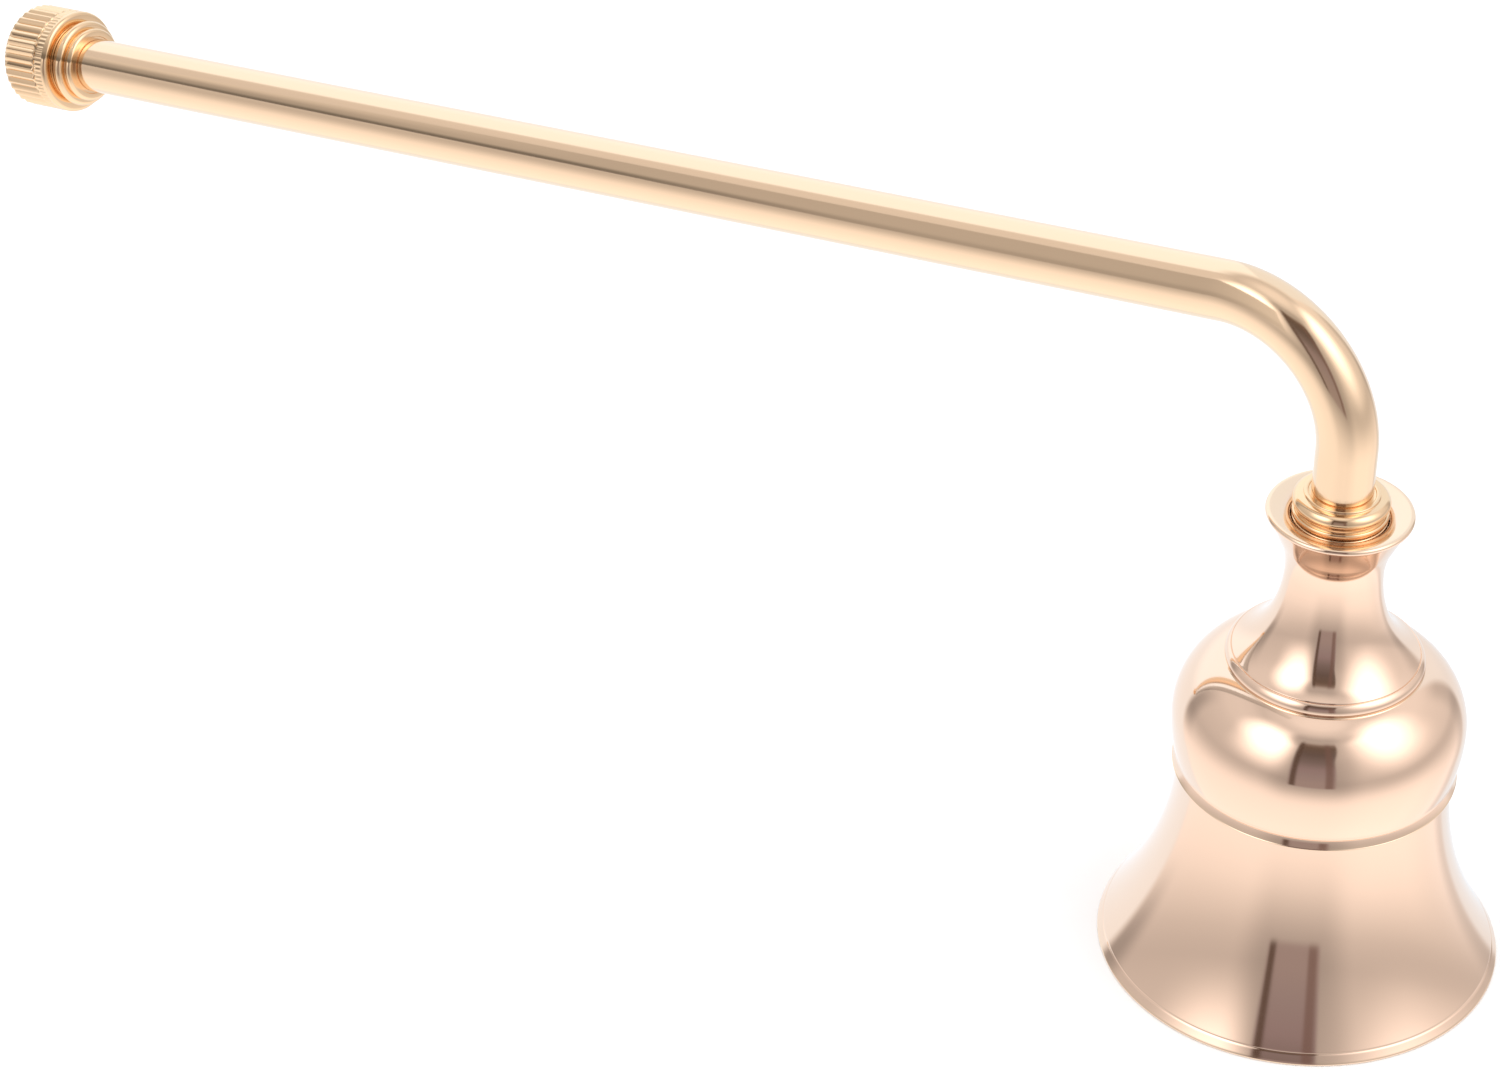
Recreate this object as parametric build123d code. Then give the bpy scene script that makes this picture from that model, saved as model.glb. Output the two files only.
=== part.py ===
from build123d import *
from math import asin, cos, pi, radians, sin, sqrt, tan
import os

# Candle snuffer: a flared metal bell hung on a bent tube handle with a knurled knob at its far end.
# Millimetres, +Z up along the bell's axis, origin at the centre of the bell's mouth.
# The handle leaves the bend toward -X and droops a little toward the knob.
# Radii are from the axis that a piece is turned about, heights along that axis.

# Handle tube, a standard quarter inch tube
tube_radius = 3.175
tube_wall = 0.8
bend_radius = 13.2
droop_angle = 10.0
tube_drop_length = 8.55
knob_reach = 183.8

# Bell skirt
mouth_radius = 21.65
skirt_radius = 14.4
skirt_wall = 0.8
skirt_flare_height = 23.0
skirt_band_height = 0.9
skirt_lap = 1.3
rim_rounding = 0.2

# Bell dome, which stands out over the skirt that it is fixed on
dome_belly_overhang = 0.95
dome_wall = 0.6
dome_belly_rise = 5.7
crown_axis_radius = 7.35
dome_waist_overhang = 0.4
dome_waist_rise = 1.2
dome_edge_depth = 0.2
dome_cone_top_overhang = 0.1
dome_cone_top_rise = 0.96
dome_lip_overhang = 0.53
dome_lip_bottom_drop = 0.4
dome_lip_edge_rise = 0.12
dome_hole_radius = 8.6

# Bell neck and its saucer
neck_radius = 5.0
neck_wall = 0.65
neck_flare_radius = 11.5
neck_hem_radius = 10.3
neck_hem_bite = 0.12
hem_roll_radius = 1.05
hem_roll_axis_radius = 9.325
hem_roll_rise = 0.594
crease_radius = 9.8
neck_tube_length = 6.6
waist_bulge = 0.08
waist_rise = 1.135
waist_flare_radius = 16.0
waist_flare_drop = 5.2
throat_flare_radius = 9.0
throat_flare_rise = 3.8
saucer_radius = 7.6
saucer_depth = 1.9
saucer_edge = 0.65
saucer_seat_radius = 5.12
saucer_throat_rise = 1.04

# Swivel under the handle
running_gap = 0.05
shoulder_radius = 2.0
thread_radius = 1.5
bell_plug_clearance = 0.5
screw_thread_length = 6.0
screw_head_radius = 3.25
screw_head_height = 2.0
screw_head_chamfer = 0.3
slot_width = 0.8
slot_depth = 0.9
bush_length = 8.0
thrust_washer_radius = 4.9
thrust_washer_height = 0.5
flat_washer_radius = 4.0
flat_washer_height = 0.5
spring_washer_radius = 3.6
spring_washer_height = 0.4
spring_washer_sheet = 0.25

# Collar round the tube above the saucer
collar_ring_count = 2
collar_ring_radius = 4.94
collar_ring_height = 0.75
collar_ring_rounding = 0.22
collar_bead_radius = 5.0
collar_bead_roll = 0.83
collar_groove_depth = 0.3
collar_groove_height = 0.2
collar_lip_radius = 3.9
collar_lip_rise = 0.24
collar_lip_rounding = 0.15
mouth_clearance = 0.27
mouth_depth = 0.16

# Collar round the tube behind the knob
knob_bead_radius = 5.1
knob_bead_roll = 0.5
knob_inner_bead_radius = 4.35
knob_inner_bead_roll = 0.42
knob_cove_radius = 4.1
knob_cove_length = 0.15
knob_collar_back = 0.15
knob_mouth_depth = 0.16

# Knob and its screw
knob_radius = 6.05
knob_length = 7.0
knob_shoulder_rounding = 0.4
knob_end_chamfer = 0.35
knurl_start = 2.1
knurl_groove_width = 0.25
knurl_depth = 0.28
knurl_count = 36
knob_plug_length = 9.0
knob_washer_radius = 4.6
knob_washer_height = 0.3
stud_engagement = 6.4
stud_seat_depth = 4.0

# One overrun for every cut that goes past its piece
overrun = 1.0

# How near a point must be to count as the same, as a share of the bell's mouth
same_place_share = 0.001

# Radii of the dome, over the skirt inside it
dome_radius = skirt_radius + dome_belly_overhang
dome_waist_radius = skirt_radius + dome_waist_overhang
dome_cone_top_radius = skirt_radius + dome_cone_top_overhang
dome_lip_radius = skirt_radius + dome_lip_overhang
dome_crown_radius = dome_radius - crown_axis_radius

# Places along the bell's axis
lip_z = skirt_flare_height + skirt_band_height
skirt_top_z = lip_z + skirt_lap
belly_z = lip_z + dome_belly_rise
hem_z = belly_z + sqrt(dome_crown_radius**2 - (neck_hem_radius - crown_axis_radius) ** 2) - neck_hem_bite
flare_axis_radius = neck_radius + neck_flare_radius
flare_inner_radius = neck_flare_radius + neck_wall
flare_top_z = hem_z + sqrt(flare_inner_radius**2 - (flare_axis_radius - neck_hem_radius) ** 2)
seat_z = flare_top_z + neck_tube_length
thrust_z = seat_z + running_gap
tube_bottom_z = thrust_z + thrust_washer_height
bush_bottom_z = seat_z - bush_length
flat_washer_z = bush_bottom_z - running_gap - flat_washer_height
spring_washer_z = flat_washer_z - spring_washer_height

# Places along the handle's axis, measured from where it would cross the bell's axis
turn_angle = 90.0 + droop_angle
bend_tangent = bend_radius * tan(radians(turn_angle) / 2)
bend_z = tube_bottom_z + tube_drop_length
corner_height = bend_z + bend_tangent
knob_start = knob_reach - knob_length
knob_washer_start = knob_start - running_gap - knob_washer_height
tube_end = knob_washer_start - running_gap

# Fits
bore_radius = tube_radius - tube_wall
mouth_bore_radius = tube_radius + mouth_clearance
neck_bore_radius = neck_radius - neck_wall


def at(radius, height):
    """A point of a turned section, in the plane that the section is drawn in."""
    return (radius, 0, height)


def turned(*edges):
    """The solid that a closed section makes when it is turned about its axis."""
    return revolve(make_face(list(edges)), Axis.Z)


def ring(inner_radius, outer_radius, bottom, top):
    """A plain ring, or a disc where the inner radius is zero."""
    section = Polyline(
        at(inner_radius, bottom),
        at(outer_radius, bottom),
        at(outer_radius, top),
        at(inner_radius, top),
        close=True,
    )
    return turned(section)


def circle_radius(centre_radius, centre_height, arc_radius, height, side):
    """How far from the axis an arc of a turned section is, at one height, on one side of its centre."""
    return centre_radius + side * sqrt(arc_radius**2 - (height - centre_height) ** 2)


def arc_on(centre_radius, centre_height, arc_radius, start, end, side):
    """The arc of a turned section between two heights."""
    middle = (start + end) / 2
    points = [
        at(circle_radius(centre_radius, centre_height, arc_radius, height, side), height)
        for height in (start, middle, end)
    ]
    return ThreePointArc(*points)


def tangent_arc_radius(run, rise):
    """The radius of an arc that starts upright and moves out by run over rise."""
    return (run**2 + rise**2) / (2 * run)


def handle_place(distance):
    """The plane square to the handle at a distance from its corner, facing the knob."""
    droop = radians(droop_angle)
    outward = Vector(-cos(droop), 0, -sin(droop))
    origin = Vector(0, 0, corner_height) + outward * distance
    return Plane(origin=origin, z_dir=outward, x_dir=(0, 1, 0))


def edges_at(part, height, radius):
    """The round edges of a turned piece at one height and radius."""
    circles = part.edges().filter_by(GeomType.CIRCLE)
    near = mouth_radius * same_place_share
    return [
        edge
        for edge in circles
        if abs(edge.center().Z - height) < near and abs(edge.radius - radius) < near
    ]


def make_skirt():
    """The flared lower shell, whose flat rim is what the bell stands on."""
    arc_radius = tangent_arc_radius(mouth_radius - skirt_radius, skirt_flare_height)
    centre = skirt_radius + arc_radius
    inner_top = skirt_radius - skirt_wall
    outer_flare = arc_on(centre, skirt_flare_height, arc_radius, 0, skirt_flare_height, -1)
    inner_flare = arc_on(centre, skirt_flare_height, arc_radius + skirt_wall, skirt_flare_height, 0, -1)
    top = Polyline(
        at(skirt_radius, skirt_flare_height),
        at(skirt_radius, skirt_top_z),
        at(inner_top, skirt_top_z),
        at(inner_top, skirt_flare_height),
    )
    rim = Line(inner_flare @ 1, outer_flare @ 0)
    skirt = turned(outer_flare, top, inner_flare, rim)
    rim_edges = edges_at(skirt, 0, mouth_radius) + edges_at(skirt, 0, (inner_flare @ 1).X)
    return fillet(rim_edges, rim_rounding)


def dome_outer_line():
    """The dome's outside, from its lip's lower face up to the hole in its crown."""
    lip_bottom_z = lip_z - dome_lip_bottom_drop
    waist_z = lip_z + dome_waist_rise
    belly_arc = tangent_arc_radius(dome_radius - dome_waist_radius, dome_belly_rise - dome_waist_rise)
    crown_reach = dome_hole_radius - crown_axis_radius
    crown_z = belly_z + sqrt(dome_crown_radius**2 - crown_reach**2)
    lip = Polyline(
        at(dome_lip_radius, lip_bottom_z),
        at(dome_lip_radius, lip_bottom_z + dome_lip_edge_rise),
        at(dome_cone_top_radius, lip_z + dome_cone_top_rise),
        at(dome_waist_radius, waist_z - dome_edge_depth),
        at(dome_waist_radius, waist_z),
    )
    belly = arc_on(dome_radius - belly_arc, belly_z, belly_arc, waist_z, belly_z, 1)
    crown = arc_on(crown_axis_radius, belly_z, dome_crown_radius, belly_z, crown_z, 1)
    return lip, belly, crown


def make_dome():
    """The round middle shell, whose lip laps over the top of the skirt."""
    lip, belly, crown = dome_outer_line()
    belly_arc = tangent_arc_radius(dome_radius - dome_waist_radius, dome_belly_rise - dome_waist_rise)
    inner_crown_arc = dome_crown_radius - dome_wall
    crown_reach = dome_hole_radius - crown_axis_radius
    inner_crown_z = belly_z + sqrt(inner_crown_arc**2 - crown_reach**2)
    inner_crown = arc_on(crown_axis_radius, belly_z, inner_crown_arc, inner_crown_z, belly_z, 1)
    inner_belly = arc_on(
        dome_radius - belly_arc, belly_z, belly_arc - dome_wall, belly_z, skirt_top_z, 1
    )
    hole = Line(crown @ 1, inner_crown @ 0)
    step = Polyline(
        inner_belly @ 1,
        at(skirt_radius, skirt_top_z),
        at(skirt_radius, (lip @ 0).Z),
        lip @ 0,
    )
    return turned(lip, belly, crown, hole, inner_crown, inner_belly, step)


def dome_core():
    """The dome as if it were solid, which trims what sits on its crown."""
    lip, belly, crown = dome_outer_line()
    top = crown @ 1
    close = Polyline(top, at(0, top.Z), at(0, (lip @ 0).Z), lip @ 0)
    return turned(lip, belly, crown, close)


def hem_outer_line():
    """The rolled hem's outside, from just over the dome up to the crease at the neck's foot."""
    roll_z = hem_z + hem_roll_rise
    start_z = roll_z - sqrt(hem_roll_radius**2 - (neck_hem_radius - hem_roll_axis_radius) ** 2)
    crease_z = roll_z + sqrt(hem_roll_radius**2 - (crease_radius - hem_roll_axis_radius) ** 2)
    return arc_on(hem_roll_axis_radius, roll_z, hem_roll_radius, start_z, crease_z, 1)


def neck_outer_line(crease_z):
    """The neck's outside from its crease up: two flares that meet smoothly, a waist and a throat."""
    waist_radius = neck_radius + waist_bulge
    waist_z = flare_top_z + waist_rise
    join_z = waist_z - waist_flare_drop
    lean = asin(waist_flare_drop / waist_flare_radius)
    join_radius = waist_radius + waist_flare_radius * (1 - cos(lean))
    run = crease_radius - join_radius
    rise = join_z - crease_z
    foot_radius = (run**2 + rise**2) / (2 * (run * cos(lean) - rise * sin(lean)))
    foot_axis_radius = join_radius + foot_radius * cos(lean)
    foot_centre_z = join_z + foot_radius * sin(lean)
    foot = arc_on(foot_axis_radius, foot_centre_z, foot_radius, crease_z, join_z, -1)
    waist = arc_on(waist_radius + waist_flare_radius, waist_z, waist_flare_radius, join_z, waist_z, -1)
    throat_z = waist_z + throat_flare_rise
    throat = arc_on(waist_radius + throat_flare_radius, waist_z, throat_flare_radius, waist_z, throat_z, -1)
    return foot, waist, throat


def make_neck():
    """The trumpet between dome and handle, opening at the top into a small saucer."""
    saucer_top_z = seat_z + saucer_depth
    edge_centre = saucer_radius - saucer_edge / 2
    hem = hem_outer_line()
    foot, waist, throat = neck_outer_line((hem @ 1).Z)
    inner_flare = arc_on(flare_axis_radius, flare_top_z, flare_inner_radius, flare_top_z, hem_z, -1)
    underside = Line(throat @ 1, at(edge_centre, saucer_top_z - saucer_edge))
    edge = ThreePointArc(
        at(edge_centre, saucer_top_z - saucer_edge),
        at(saucer_radius, saucer_top_z - saucer_edge / 2),
        at(edge_centre, saucer_top_z),
    )
    throat_z = seat_z + saucer_throat_rise
    bowl_width = edge_centre - saucer_seat_radius
    bowl_depth = saucer_top_z - throat_z
    bowl = ThreePointArc(
        at(edge_centre, saucer_top_z),
        at(edge_centre - bowl_width * sin(radians(45)), throat_z + bowl_depth * sin(radians(45))),
        at(saucer_seat_radius, throat_z),
    )
    inside = Polyline(
        at(saucer_seat_radius, throat_z),
        at(saucer_seat_radius, seat_z),
        at(neck_bore_radius, seat_z),
        at(neck_bore_radius, flare_top_z),
    )
    skirting = Line(inner_flare @ 1, hem @ 0)
    neck = turned(hem, foot, waist, throat, underside, edge, bowl, inside, inner_flare, skirting)
    return neck - dome_core()


def make_neck_bush():
    """The bearing fixed in the neck, which the bell turns on."""
    return ring(shoulder_radius + running_gap, neck_bore_radius, bush_bottom_z, seat_z)


def make_thrust_washer():
    """The washer between the collar and the saucer's seat."""
    return ring(shoulder_radius + running_gap, thrust_washer_radius, thrust_z, tube_bottom_z)


def make_flat_washer():
    """The washer that the bush runs against from below."""
    top = flat_washer_z + flat_washer_height
    return ring(shoulder_radius + running_gap, flat_washer_radius, flat_washer_z, top)


def make_spring_washer():
    """The coned washer that keeps a light drag on the swivel."""
    inner = shoulder_radius + running_gap
    section = Polyline(
        at(inner, spring_washer_z),
        at(spring_washer_radius, flat_washer_z - spring_washer_sheet),
        at(spring_washer_radius, flat_washer_z),
        at(inner, spring_washer_z + spring_washer_sheet),
        close=True,
    )
    return turned(section)


def make_bell_screw():
    """The shoulder screw that hangs the bell from the handle."""
    head_bottom = spring_washer_z - screw_head_height
    head = ring(0, screw_head_radius, head_bottom, spring_washer_z)
    head = chamfer(edges_at(head, head_bottom, screw_head_radius), screw_head_chamfer)
    shoulder = ring(0, shoulder_radius, spring_washer_z, tube_bottom_z)
    thread = ring(0, thread_radius, tube_bottom_z, tube_bottom_z + screw_thread_length)
    slot = Pos(0, 0, head_bottom) * Box(2 * (screw_head_radius + overrun), slot_width, 2 * slot_depth)
    return head + shoulder + thread - slot


def make_bell_end_plug():
    """The threaded plug in the tube's lower end."""
    top = bend_z - bell_plug_clearance
    return ring(thread_radius, bore_radius, tube_bottom_z, top)


def make_handle_tube():
    """The bent tube, from the collar's lower face to the back of the knob."""
    droop = radians(droop_angle)
    bend_middle = radians(turn_angle) / 2
    start = Vector(0, 0, tube_bottom_z)
    bend_start = Vector(0, 0, bend_z)
    bend_mid = Vector(-bend_radius * (1 - cos(bend_middle)), 0, bend_z + bend_radius * sin(bend_middle))
    outward = Vector(-cos(droop), 0, -sin(droop))
    corner = Vector(0, 0, corner_height)
    bend_end = corner + outward * bend_tangent
    end = corner + outward * tube_end
    path = Wire([Line(start, bend_start), ThreePointArc(bend_start, bend_mid, bend_end), Line(bend_end, end)])
    section = Plane(origin=start, z_dir=(0, 0, 1))
    outside = sweep(section * Circle(tube_radius), path)
    inside = sweep(section * Circle(bore_radius), path)
    return outside - inside


def make_collar():
    """The beaded collar that the tube is seated in, above the bell."""
    bottom = tube_bottom_z
    rings_top = bottom + collar_ring_count * collar_ring_height
    bead_bottom = rings_top + collar_groove_height
    bead_z = bead_bottom + collar_bead_roll
    bead_axis = collar_bead_radius - collar_bead_roll
    bead_top = bead_z + collar_bead_roll
    lip_top = bead_top + collar_lip_rise
    groove_radius = collar_ring_radius - collar_groove_depth
    step_z = lip_top - mouth_depth
    base = Polyline(
        at(tube_radius, step_z),
        at(tube_radius, bottom),
        at(groove_radius, bottom),
        at(groove_radius, bead_bottom),
        at(bead_axis, bead_bottom),
    )
    bead = ThreePointArc(base @ 1, at(collar_bead_radius, bead_z), at(bead_axis, bead_top))
    top = Polyline(
        at(bead_axis, bead_top),
        at(collar_lip_radius, bead_top),
        at(collar_lip_radius, lip_top),
        at(mouth_bore_radius, lip_top),
        at(mouth_bore_radius, step_z),
        at(tube_radius, step_z),
    )
    collar = turned(base, bead, top)
    collar = fillet(edges_at(collar, lip_top, collar_lip_radius), collar_lip_rounding)
    for level in range(collar_ring_count):
        ring_z = bottom + level * collar_ring_height
        band = ring(tube_radius, collar_ring_radius, ring_z, ring_z + collar_ring_height)
        rounded = edges_at(band, ring_z, collar_ring_radius)
        rounded += edges_at(band, ring_z + collar_ring_height, collar_ring_radius)
        collar += fillet(rounded, collar_ring_rounding)
    return collar


def make_knob_collar():
    """The two-bead collar that finishes the tube behind the knob."""
    inner_z = knob_inner_bead_roll
    inner_axis = knob_inner_bead_radius - knob_inner_bead_roll
    cove_z = 2 * knob_inner_bead_roll
    bead_start = cove_z + knob_cove_length
    bead_z = bead_start + knob_bead_roll
    bead_axis = knob_bead_radius - knob_bead_roll
    back_z = bead_z + knob_bead_roll
    end_z = back_z + knob_collar_back
    inner_bead = ThreePointArc(
        at(inner_axis, 0), at(knob_inner_bead_radius, inner_z), at(inner_axis, cove_z)
    )
    cove = Polyline(
        at(inner_axis, cove_z),
        at(knob_cove_radius, cove_z),
        at(knob_cove_radius, bead_start),
        at(bead_axis, bead_start),
    )
    bead = ThreePointArc(at(bead_axis, bead_start), at(knob_bead_radius, bead_z), at(bead_axis, back_z))
    back = Polyline(
        at(bead_axis, back_z),
        at(bead_axis, end_z),
        at(tube_radius, end_z),
        at(tube_radius, knob_mouth_depth),
        at(mouth_bore_radius, knob_mouth_depth),
        at(mouth_bore_radius, 0),
        at(inner_axis, 0),
    )
    collar = turned(inner_bead, cove, bead, back)
    return handle_place(tube_end - end_z) * collar


def make_knob_end_plug():
    """The threaded plug in the tube's far end, which the knob screws into."""
    plug = ring(thread_radius + running_gap, bore_radius, 0, knob_plug_length)
    return handle_place(tube_end - knob_plug_length) * plug


def make_knob_washer():
    """The washer pinched between the knob and its collar."""
    washer = ring(thread_radius + running_gap, knob_washer_radius, 0, knob_washer_height)
    return handle_place(knob_washer_start) * washer


def knurl_outline():
    """The toothed outline of the knurled band, one ridge and one valley for each rib."""
    corners = []
    for step in range(2 * knurl_count):
        radius = knob_radius if step % 2 == 0 else knob_radius - knurl_depth
        angle = pi * step / knurl_count
        corners.append((radius * cos(angle), radius * sin(angle)))
    return make_face(Polyline(*corners, close=True))


def make_knob():
    """The knurled end knob, with the blind hole that holds its stud."""
    body = ring(0, knob_radius, 0, knob_length)
    body = fillet(edges_at(body, 0, knob_radius), knob_shoulder_rounding)
    body = chamfer(edges_at(body, knob_length, knob_radius), knob_end_chamfer)
    band_length = knob_length - knurl_start
    waste = Pos(0, 0, knurl_start) * Cylinder(
        knob_radius + overrun, band_length + overrun, align=(Align.CENTER, Align.CENTER, Align.MIN)
    )
    waste -= Pos(0, 0, knurl_start) * extrude(knurl_outline(), band_length + overrun)
    groove_start = knurl_start - knurl_groove_width
    groove = ring(knob_radius - knurl_depth, knob_radius + overrun, groove_start, knurl_start)
    hole = ring(0, thread_radius, -overrun, stud_seat_depth)
    return handle_place(knob_start) * (body - waste - groove - hole)


def make_knob_stud():
    """The stud fixed in the knob, which runs in the far plug's thread."""
    stud = ring(0, thread_radius, -stud_engagement, stud_seat_depth)
    return handle_place(knob_start) * stud


makers = {
    "bell_skirt": make_skirt,
    "bell_dome": make_dome,
    "bell_neck": make_neck,
    "neck_bush": make_neck_bush,
    "thrust_washer": make_thrust_washer,
    "flat_washer": make_flat_washer,
    "spring_washer": make_spring_washer,
    "bell_screw": make_bell_screw,
    "bell_end_plug": make_bell_end_plug,
    "handle_tube": make_handle_tube,
    "handle_collar": make_collar,
    "knob_collar": make_knob_collar,
    "knob_end_plug": make_knob_end_plug,
    "knob_washer": make_knob_washer,
    "knob": make_knob,
    "knob_stud": make_knob_stud,
}

os.makedirs("parts", exist_ok=True)
for name, maker in makers.items():
    export_step(maker(), f"parts/{name}.step")
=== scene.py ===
import math

import bmesh
import bpy
from mathutils import Matrix, Vector


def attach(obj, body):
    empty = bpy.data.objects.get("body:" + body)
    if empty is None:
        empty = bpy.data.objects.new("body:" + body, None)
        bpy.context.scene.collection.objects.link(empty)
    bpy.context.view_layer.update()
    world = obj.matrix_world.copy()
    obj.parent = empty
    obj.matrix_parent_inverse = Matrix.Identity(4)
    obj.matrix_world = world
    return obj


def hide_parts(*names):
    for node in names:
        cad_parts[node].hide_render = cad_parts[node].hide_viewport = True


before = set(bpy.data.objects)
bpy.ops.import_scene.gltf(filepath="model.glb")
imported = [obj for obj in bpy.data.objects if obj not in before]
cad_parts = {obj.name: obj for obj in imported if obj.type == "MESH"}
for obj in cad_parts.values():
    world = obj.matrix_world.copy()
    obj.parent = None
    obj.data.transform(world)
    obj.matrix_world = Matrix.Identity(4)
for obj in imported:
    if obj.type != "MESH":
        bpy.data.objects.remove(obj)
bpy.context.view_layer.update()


# Bell skirt
# The flared lower shell that covers the flame. Spun from thin brass sheet, polished outside and
# plated in pinkish gold, with a fine line turned just above its rim. It stands on that rim.

mm = 0.001
skirt_top_radius = 14.4
skirt_mouth_radius = 21.65
skirt_flare_top = 23.0
skirt_top = 25.2
skirt_sheet = 0.8
rim_line_height = 1.15
rim_line_depth = 0.05
rim_line_width = 0.08
rim_line_fineness = 0.05
rim_band_top = 2.2
rim_ease = 0.48
spun_sides = 256

rose_gold = (0.89, 0.665, 0.515)
rose_gold_clouded = (0.86, 0.63, 0.49)
rose_gold_thin = (0.90, 0.70, 0.50)
lining_gold = (0.80, 0.60, 0.40)
lining_gold_dull = (0.70, 0.49, 0.31)


class Reading:
    """One output of a node, which can be used in sums."""

    def __init__(self, board, socket):
        self.board = board
        self.socket = socket

    def sum_with(self, operation, first, second):
        return self.board.add("ShaderNodeMath", {"operation": operation}, {0: first, 1: second})

    def __add__(self, other):
        return self.sum_with("ADD", self, other)

    def __radd__(self, other):
        return self.sum_with("ADD", other, self)

    def __sub__(self, other):
        return self.sum_with("SUBTRACT", self, other)

    def __rsub__(self, other):
        return self.sum_with("SUBTRACT", other, self)

    def __mul__(self, other):
        return self.sum_with("MULTIPLY", self, other)

    def __rmul__(self, other):
        return self.sum_with("MULTIPLY", other, self)

    def __truediv__(self, other):
        return self.sum_with("DIVIDE", self, other)

    def __rtruediv__(self, other):
        return self.sum_with("DIVIDE", other, self)

    def __pow__(self, other):
        return self.sum_with("POWER", self, other)


class Board:
    """A node tree with short ways to add and join its nodes."""

    def __init__(self, tree):
        self.tree = tree

    def add(self, kind, settings=None, inputs=None, output=0):
        node = self.tree.nodes.new(kind)
        for name, value in (settings or {}).items():
            if name == "stops":
                self.set_stops(node.color_ramp, value)
            else:
                setattr(node, name, value)
        for key, value in (inputs or {}).items():
            self.feed(node.inputs[key], value)
        return Reading(self, node.outputs[output])

    def feed(self, socket, value):
        if isinstance(value, Reading):
            self.tree.links.new(value.socket, socket)
        else:
            socket.default_value = value

    def set_stops(self, ramp, stops):
        while len(ramp.elements) < len(stops):
            ramp.elements.new(1.0)
        for element, (place, colour) in zip(ramp.elements, stops):
            element.position = place
            element.color = (*colour, 1.0)

    def rise(self, value, start, end):
        """Goes smoothly from 0 to 1 as the value goes from start to end."""
        ends = {"Value": value, "From Min": start, "From Max": end}
        return self.add("ShaderNodeMapRange", {"interpolation_type": "SMOOTHSTEP"}, ends)

    def blend(self, share, first, second):
        """A colour between two, by share."""
        first, second = [(*colour, 1) if isinstance(colour, tuple) else colour for colour in (first, second)]
        settings = {"data_type": "RGBA"}
        return self.add("ShaderNodeMix", settings, {"Factor": share, 6: first, 7: second}, 2)


class Finish(Board):
    """A metal finish: a material whose shader is a polished or satin metal."""

    def __init__(self, name, **steady):
        self.material = bpy.data.materials.new(name)
        self.material.use_nodes = True
        super().__init__(self.material.node_tree)
        self.shader = self.tree.nodes["Principled BSDF"]
        self.set(Metallic=1.0, **steady)

    def set(self, **values):
        for name, value in values.items():
            self.feed(self.shader.inputs[name.replace("_", " ")], value)

    def object_place(self, turn=None, centre=None):
        """Where on the piece a point is, seen along the axis that the piece was turned about."""
        place = self.add("ShaderNodeTexCoord", output="Object")
        if turn is not None:
            shift = {"Vector": place, "Location": [-value for value in centre]}
            place = self.add("ShaderNodeMapping", None, shift)
            place = self.add("ShaderNodeMapping", None, {"Vector": place, "Rotation": turn})
        return place

    def lathe_lines(self, place, fineness, drift, detail=3.0):
        """Fine rings left by turning, as a noise that is drawn out around the axis."""
        axes = self.add("ShaderNodeSeparateXYZ", None, {0: place})
        across = Reading(self, axes.socket.node.outputs["X"])
        deep = Reading(self, axes.socket.node.outputs["Y"])
        along = Reading(self, axes.socket.node.outputs["Z"])
        radius = (across * across + deep * deep) ** 0.5 + 1e-6
        spread = {"X": radius / fineness, "Y": along / fineness, "Z": across / radius * drift}
        vector = self.add("ShaderNodeCombineXYZ", None, spread)
        inputs = {"Vector": vector, "W": deep / radius * drift, "Scale": 1.0, "Detail": detail}
        return self.add("ShaderNodeTexNoise", {"noise_dimensions": "4D"}, inputs)

    def clouds(self, place, size, detail=2.0):
        """A slow change from place to place."""
        inputs = {"Vector": place, "Scale": 1.0 / size, "Detail": detail}
        return self.add("ShaderNodeTexNoise", None, inputs)

    def bump(self, height, strength, distance):
        inputs = {"Height": height, "Strength": strength, "Distance": distance}
        return self.add("ShaderNodeBump", None, inputs)


def bow(axis, level, radius, start, end, side, steps=48):
    """Points on an arc of a section between two heights, on one side of the arc's centre."""
    first = math.asin((start - level) / radius)
    last = math.asin((end - level) / radius)
    turns = [first + (last - first) * step / steps for step in range(steps + 1)]
    return [(axis + side * radius * math.cos(turn), level + radius * math.sin(turn)) for turn in turns]


def shortened(points, reach):
    """A run of points with this much taken off its end."""
    left = list(points)
    while reach > 0:
        last, before = left[-1], left[-2]
        step = math.dist(last, before)
        if step > reach:
            left[-1] = tuple(a + (b - a) * reach / step for a, b in zip(last, before))
            break
        left.pop()
        reach -= step
    return left


def filled_in(points, longest=0.3):
    """A run of points with more set between those that are far apart."""
    full = [points[0]]
    for start, end in zip(points, points[1:]):
        parts = max(1, math.ceil(math.dist(start, end) / longest))
        full += [tuple(a + (b - a) * k / parts for a, b in zip(start, end)) for k in range(1, parts + 1)]
    return full


ease_steps = 6
least_step = 0.003


def eased_outline(*runs):
    """A closed section from runs of points, each with how far the corner at its end is eased."""
    whole = []
    for number, (points, ease) in enumerate(runs):
        run = shortened(points, ease)
        run = shortened(run[::-1], runs[number - 1][1])[::-1]
        whole += filled_in(run)
        if ease:
            after = shortened(runs[(number + 1) % len(runs)][0][::-1], ease)[-1]
            for step in range(1, ease_steps + 1):
                t = step / (ease_steps + 1)
                weights = ((1 - t) ** 2, 2 * t * (1 - t), t * t)
                corner = zip(run[-1], points[-1], after)
                whole.append(tuple(sum(w * c for w, c in zip(weights, trio)) for trio in corner))
    pairs = zip(whole, whole[-1:] + whole)
    return [point for point, before in pairs if math.dist(point, before) > least_step]


weld_distance = 2e-7
smooth_limit = math.radians(50)


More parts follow.
